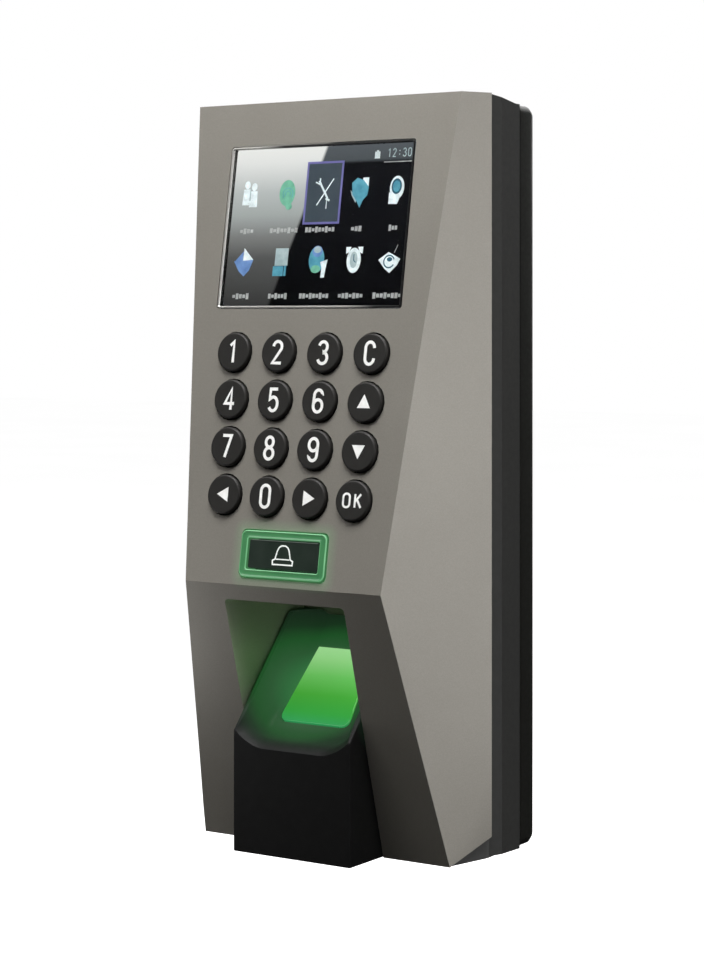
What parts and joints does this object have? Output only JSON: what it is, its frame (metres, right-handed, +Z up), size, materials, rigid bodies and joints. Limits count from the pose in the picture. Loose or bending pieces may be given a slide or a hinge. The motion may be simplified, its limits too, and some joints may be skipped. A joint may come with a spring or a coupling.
{
  "type": "fingerprint scanner terminal",
  "caption": "Wall-mounted access terminal with a faceted casing, a colour display, round keys, a lit bell button and a hooded optical finger sensor in a recess.",
  "frame": {"origin": "centre of the wall plate's flat back face, on the wall", "axes": "+Z up, +Y into the wall, front looks along -Y, +X to the right of a person facing it"},
  "size_m": [0.08, 0.0464, 0.172],
  "materials": {
    "cover_paint": "fine satin metallic paint on moulded plastic",
    "housing_plastic": "moulded plastic, light texture",
    "plate_plastic": "moulded plastic, light texture",
    "hood_plastic": "smooth satin moulding",
    "key_plastic": "fine satin key cap",
    "bell_plastic": "polished",
    "light_guide": "tinted translucent light guide, lit green",
    "sensor_glass": "optical glass, lit green from below",
    "window_glass": "clear glass",
    "screen": "lit colour display cell",
    "frame_metal": "satin",
    "tray_metal": "pressed sheet",
    "screw_metal": "zinc plated",
    "board": "solder mask on glass-fibre board",
    "silicone": "soft matt",
    "ribbon": "thin polyimide film",
    "black_part": "moulded electronic part",
    "speaker_part": "moulded",
    "connector_green": "moulded connector",
    "jack_metal": "plated shield",
    "cell_metal": "plated steel",
    "legend_paint": "printed white legend",
    "screen_icons": "lit pictures of the display"
  },
  "bodies": {
    "wall_plate": {"wall_plate": "plate_plastic", "locking_screw": "screw_metal"},
    "terminal": {"rear_housing": "housing_plastic", "front_cover": "cover_paint", "display_window": "window_glass", "display_frame": "frame_metal", "lcd_panel": "screen", "lcd_tray": "tray_metal", "display_ribbon": "ribbon", "keypad_mat": "silicone", "keypad_board": "board", "keypad_ribbon": "ribbon", "bell_light_ring": "light_guide", "sensor_hood": "hood_plastic", "sensor_window": "sensor_glass", "sensor_led_board": "board", "sensor_lens": "black_part", "sensor_camera_board": "board", "sensor_cable": "ribbon", "main_board": "board", "processor": "black_part", "memory_chip": "black_part", "lock_relay": "black_part", "speaker": "speaker_part", "cell_holder": "speaker_part", "backup_cell": "cell_metal", "power_terminal": "connector_green", "lock_terminal": "connector_green", "network_jack": "jack_metal", "tamper_switch": "speaker_part", "housing_screw_1": "screw_metal", "board_screw_1": "screw_metal", "housing_screw_2": "screw_metal", "board_screw_2": "screw_metal", "housing_screw_3": "screw_metal", "board_screw_3": "screw_metal", "housing_screw_4": "screw_metal", "board_screw_4": "screw_metal", "hood_screw_1": "screw_metal", "keypad_screw_1": "screw_metal", "hood_screw_2": "screw_metal", "keypad_screw_2": "screw_metal"},
    "key_1": {"key_1": "key_plastic"},
    "key_2": {"key_2": "key_plastic"},
    "key_3": {"key_3": "key_plastic"},
    "key_clear": {"key_clear": "key_plastic"},
    "key_4": {"key_4": "key_plastic"},
    "key_5": {"key_5": "key_plastic"},
    "key_6": {"key_6": "key_plastic"},
    "key_up": {"key_up": "key_plastic"},
    "key_7": {"key_7": "key_plastic"},
    "key_8": {"key_8": "key_plastic"},
    "key_9": {"key_9": "key_plastic"},
    "key_down": {"key_down": "key_plastic"},
    "key_left": {"key_left": "key_plastic"},
    "key_0": {"key_0": "key_plastic"},
    "key_right": {"key_right": "key_plastic"},
    "key_ok": {"key_ok": "key_plastic"},
    "bell_button": {"bell_button": "bell_plastic"},
    "tamper_plunger": {"tamper_plunger": "silicone"}
  },
  "joints": [
    {"name": "terminal_lift", "type": "slide", "parent": "wall_plate", "child": "terminal", "axis": [0, 0, 1], "range_m": [0, 0.008]},
    {"name": "key_1_press", "type": "slide", "parent": "terminal", "child": "key_1", "axis": [0, 0.9867, -0.1625], "range_m": [0, 0.0008], "stiffness_N_per_m": 1500},
    {"name": "key_2_press", "type": "slide", "parent": "terminal", "child": "key_2", "axis": [0, 0.9867, -0.1625], "range_m": [0, 0.0008], "stiffness_N_per_m": 1500},
    {"name": "key_3_press", "type": "slide", "parent": "terminal", "child": "key_3", "axis": [0, 0.9867, -0.1625], "range_m": [0, 0.0008], "stiffness_N_per_m": 1500},
    {"name": "key_clear_press", "type": "slide", "parent": "terminal", "child": "key_clear", "axis": [0, 0.9867, -0.1625], "range_m": [0, 0.0008], "stiffness_N_per_m": 1500},
    {"name": "key_4_press", "type": "slide", "parent": "terminal", "child": "key_4", "axis": [0, 0.9867, -0.1625], "range_m": [0, 0.0008], "stiffness_N_per_m": 1500},
    {"name": "key_5_press", "type": "slide", "parent": "terminal", "child": "key_5", "axis": [0, 0.9867, -0.1625], "range_m": [0, 0.0008], "stiffness_N_per_m": 1500},
    {"name": "key_6_press", "type": "slide", "parent": "terminal", "child": "key_6", "axis": [0, 0.9867, -0.1625], "range_m": [0, 0.0008], "stiffness_N_per_m": 1500},
    {"name": "key_up_press", "type": "slide", "parent": "terminal", "child": "key_up", "axis": [0, 0.9867, -0.1625], "range_m": [0, 0.0008], "stiffness_N_per_m": 1500},
    {"name": "key_7_press", "type": "slide", "parent": "terminal", "child": "key_7", "axis": [0, 0.9867, -0.1625], "range_m": [0, 0.0008], "stiffness_N_per_m": 1500},
    {"name": "key_8_press", "type": "slide", "parent": "terminal", "child": "key_8", "axis": [0, 0.9867, -0.1625], "range_m": [0, 0.0008], "stiffness_N_per_m": 1500},
    {"name": "key_9_press", "type": "slide", "parent": "terminal", "child": "key_9", "axis": [0, 0.9867, -0.1625], "range_m": [0, 0.0008], "stiffness_N_per_m": 1500},
    {"name": "key_down_press", "type": "slide", "parent": "terminal", "child": "key_down", "axis": [0, 0.9867, -0.1625], "range_m": [0, 0.0008], "stiffness_N_per_m": 1500},
    {"name": "key_left_press", "type": "slide", "parent": "terminal", "child": "key_left", "axis": [0, 0.9867, -0.1625], "range_m": [0, 0.0008], "stiffness_N_per_m": 1500},
    {"name": "key_0_press", "type": "slide", "parent": "terminal", "child": "key_0", "axis": [0, 0.9867, -0.1625], "range_m": [0, 0.0008], "stiffness_N_per_m": 1500},
    {"name": "key_right_press", "type": "slide", "parent": "terminal", "child": "key_right", "axis": [0, 0.9867, -0.1625], "range_m": [0, 0.0008], "stiffness_N_per_m": 1500},
    {"name": "key_ok_press", "type": "slide", "parent": "terminal", "child": "key_ok", "axis": [0, 0.9867, -0.1625], "range_m": [0, 0.0008], "stiffness_N_per_m": 1500},
    {"name": "bell_press", "type": "slide", "parent": "terminal", "child": "bell_button", "axis": [0, 0.9867, -0.1625], "range_m": [0, 0.0006], "stiffness_N_per_m": 1800},
    {"name": "tamper_press", "type": "slide", "parent": "terminal", "child": "tamper_plunger", "axis": [0, -1, 0], "range_m": [0, 0.0015], "stiffness_N_per_m": 600}
  ]
}
